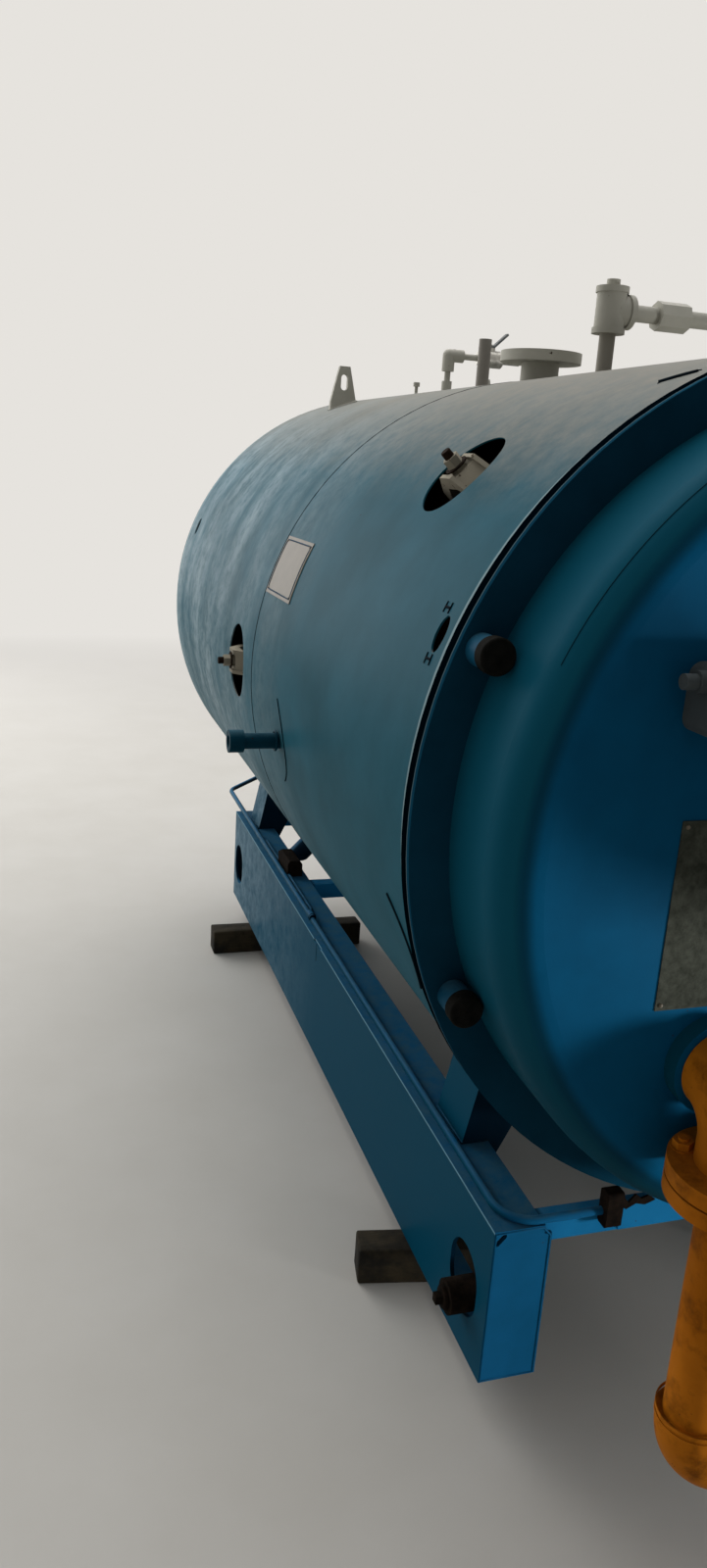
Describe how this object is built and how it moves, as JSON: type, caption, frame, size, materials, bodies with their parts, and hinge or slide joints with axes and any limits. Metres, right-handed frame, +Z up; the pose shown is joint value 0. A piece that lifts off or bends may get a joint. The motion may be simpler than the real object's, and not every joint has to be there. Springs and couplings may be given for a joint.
{
  "type": "packaged boiler",
  "caption": "Blue packaged fire-tube steam boiler with a sheet jacket, dished front head, orange gas line and channel skid on timber blocks.",
  "frame": {"origin": "on the floor, under the middle of the bounding box", "axes": "+Y along the boiler axis, from the front head to the rear; +Z up; +X to the right of the front"},
  "size_m": [1.574, 3.155, 1.981],
  "materials": {
    "blue_enamel": "gloss",
    "shell_primer": "matte",
    "orange_paint": "satin",
    "grey_paint": "satin",
    "cream_paint": "satin",
    "motor_paint": "satin",
    "stud_steel": "rough",
    "rusty_steel": "rough",
    "lever_steel": "satin",
    "valve_brass": "satin",
    "bare_plate": "satin",
    "gasket_sheet": "matte",
    "old_timber": "rough"
  },
  "bodies": {
    "boiler": {"jacket_front": "blue_enamel", "jacket_rear": "blue_enamel", "pressure_shell": "shell_primer", "front_flange": "blue_enamel", "rear_flange": "blue_enamel", "front_head": "blue_enamel", "rear_cover": "blue_enamel", "smoke_outlet": "blue_enamel", "head_studs": "stud_steel", "gas_collar": "blue_enamel", "gas_elbow": "orange_paint", "gas_gasket": "gasket_sheet", "gas_drop_pipe": "orange_paint", "gas_foot_elbow": "orange_paint", "side_nozzle_left": "blue_enamel", "side_nozzle_right": "blue_enamel", "hand_hole_rims": "rusty_steel", "hand_hole_plugs": "rusty_steel", "hand_hole_bridges": "cream_paint", "hand_hole_nuts": "cream_paint", "side_label_plate": "bare_plate", "head_plate": "bare_plate", "connection_box": "grey_paint", "burner_flange": "blue_enamel", "burner_casing": "blue_enamel", "fan_motor": "motor_paint", "steam_outlet": "grey_paint", "relief_riser": "grey_paint", "relief_branch": "grey_paint", "vent_pipe": "grey_paint", "bleed_pipe": "grey_paint", "ball_valve": "valve_brass", "lifting_lugs": "grey_paint", "legs_left": "blue_enamel", "legs_right": "blue_enamel", "skid_beam_left": "blue_enamel", "skid_beam_right": "blue_enamel", "cross_bars": "blue_enamel", "blowdown_pipe": "blue_enamel", "rusty_fittings": "rusty_steel", "drain_pipe": "rusty_steel", "beam_tube": "blue_enamel", "timbers_front": "old_timber", "timbers_rear": "old_timber"},
    "lever": {"valve_lever": "lever_steel"}
  },
  "joints": [
    {"name": "lever_turn", "type": "hinge", "parent": "boiler", "child": "lever", "pos_m": [0.127, 0.7455, 1.927], "axis": [0, 0, 1], "range_deg": [0, 90]}
  ]
}
